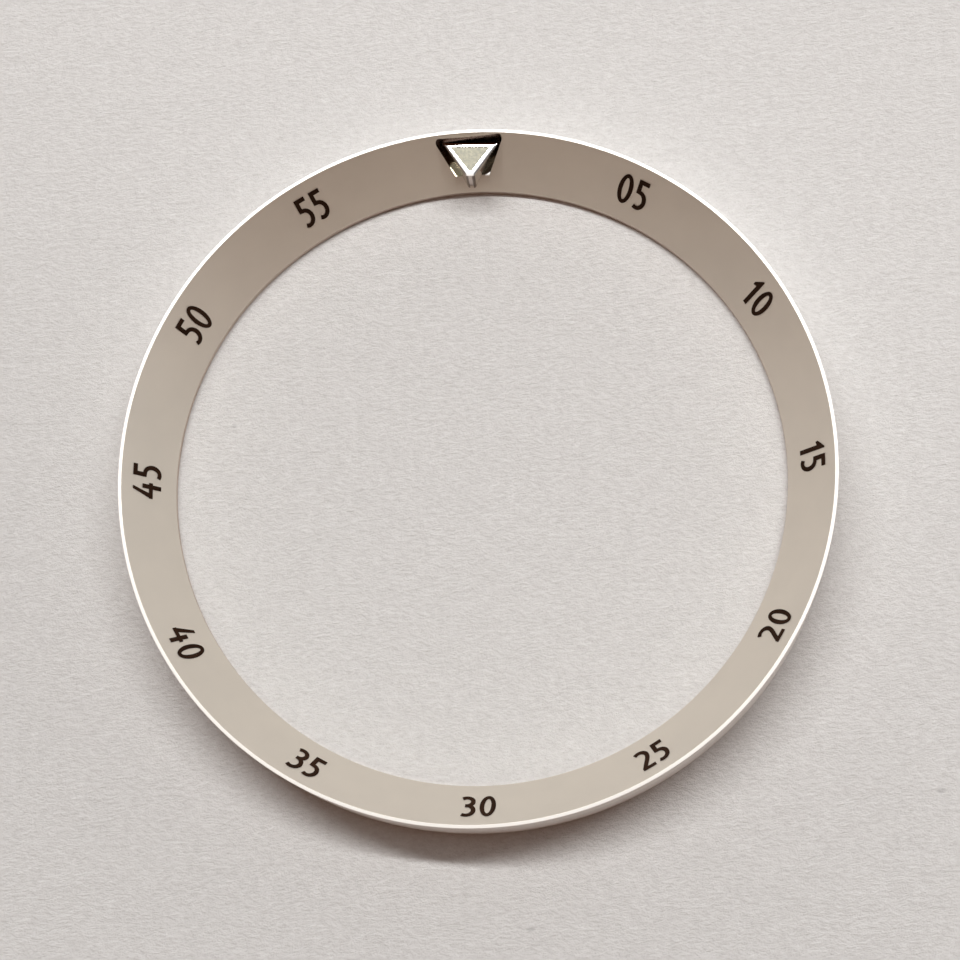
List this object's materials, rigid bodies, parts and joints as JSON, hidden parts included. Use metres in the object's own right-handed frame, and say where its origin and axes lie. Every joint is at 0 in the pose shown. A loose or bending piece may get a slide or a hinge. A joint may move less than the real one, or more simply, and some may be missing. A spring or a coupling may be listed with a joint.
{
  "type": "watch chapter ring",
  "caption": "Sloping minute ring for a diver's style watch, with printed five-minute numerals and an applied luminous triangle set in a pocket at 12 o'clock.",
  "frame": {"origin": "on the ring's axis, in the plane of its flat underside", "axes": "+Z along the ring's axis towards the crystal, +Y towards 12 o'clock, +X towards 3 o'clock"},
  "size_m": [0.034, 0.034, 0.003],
  "materials": {
    "ring": "satin",
    "marker": "polished",
    "lume": "matte",
    "ink": "matte"
  },
  "bodies": {
    "root": {"chapter_ring": "ring", "marker_frame": "marker", "marker_fill": "lume", "numeral_05": "ink", "numeral_10": "ink", "numeral_15": "ink", "numeral_20": "ink", "numeral_25": "ink", "numeral_30": "ink", "numeral_35": "ink", "numeral_40": "ink", "numeral_45": "ink", "numeral_50": "ink", "numeral_55": "ink"}
  },
  "joints": []
}
